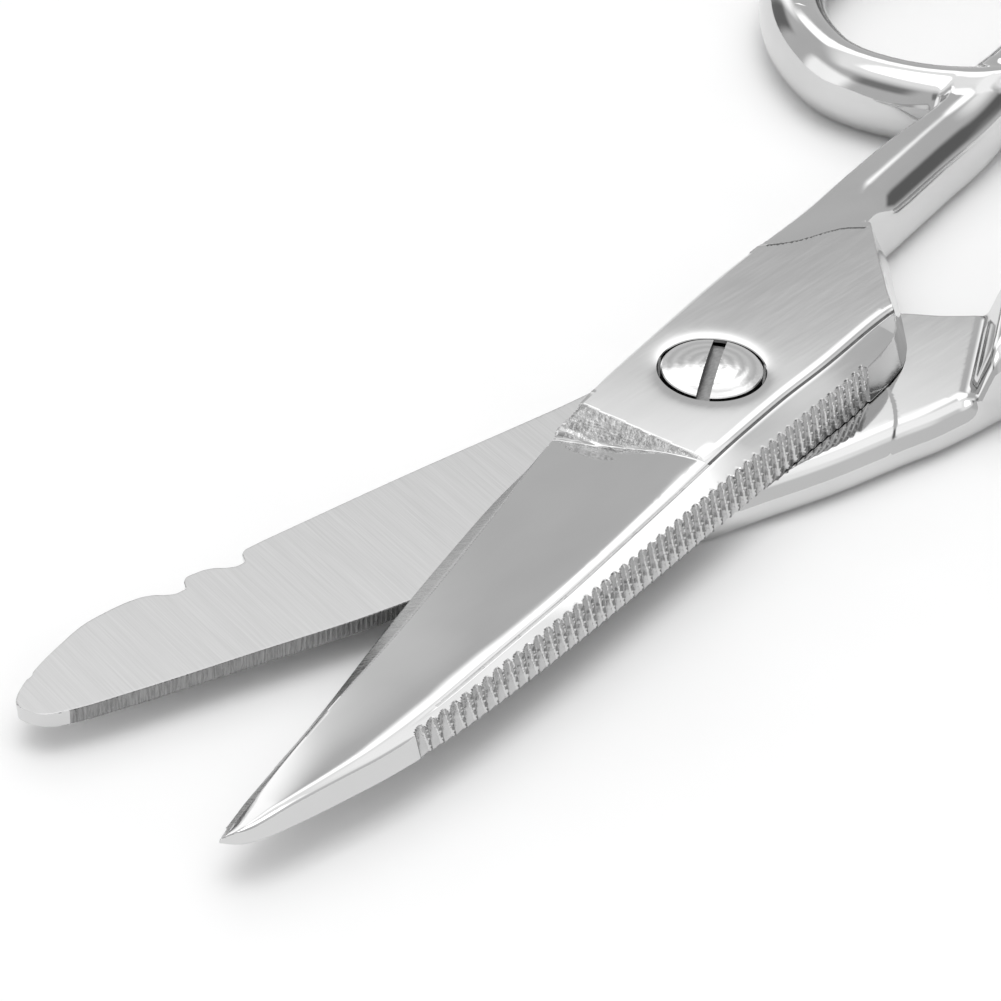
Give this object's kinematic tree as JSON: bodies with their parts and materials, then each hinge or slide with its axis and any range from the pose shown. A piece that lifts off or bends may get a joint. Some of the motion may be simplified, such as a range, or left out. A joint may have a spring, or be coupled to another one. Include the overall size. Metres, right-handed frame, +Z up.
{
  "type": "electrician's scissors",
  "caption": "Ring-handled plated steel snips: pointed file-backed blade over a flat serrated blade with stripping notches, turning on a slotted pivot screw.",
  "frame": {"origin": "on the pivot axis, at the plane that the snips lie on, which is the end face of the screw", "axes": "+Y from the pivot towards the blade tips along the middle of the jaw, +Z up out of the screw head's face, +X to the side of the upper half's finger bow"},
  "size_m": [0.0764, 0.1324, 0.0069],
  "materials": {
    "plated_steel": "bright nickel plate over forged steel, ground inner faces",
    "screw_steel": "turned and plated, fine concentric tool marks",
    "spring_steel": "plain spring steel",
    "nut_steel": "plain plated nut"
  },
  "bodies": {
    "fixed_half": {"lower_half": "plated_steel", "pivot_screw": "screw_steel", "spring_washer": "spring_steel", "lock_nut": "nut_steel"},
    "moving_half": {"upper_half": "plated_steel"}
  },
  "joints": [
    {"name": "blade_pivot", "type": "hinge", "parent": "fixed_half", "child": "moving_half", "pos_m": [0, 0, 0.00486], "axis": [0, 0, 1], "range_deg": [-18, 42]}
  ]
}
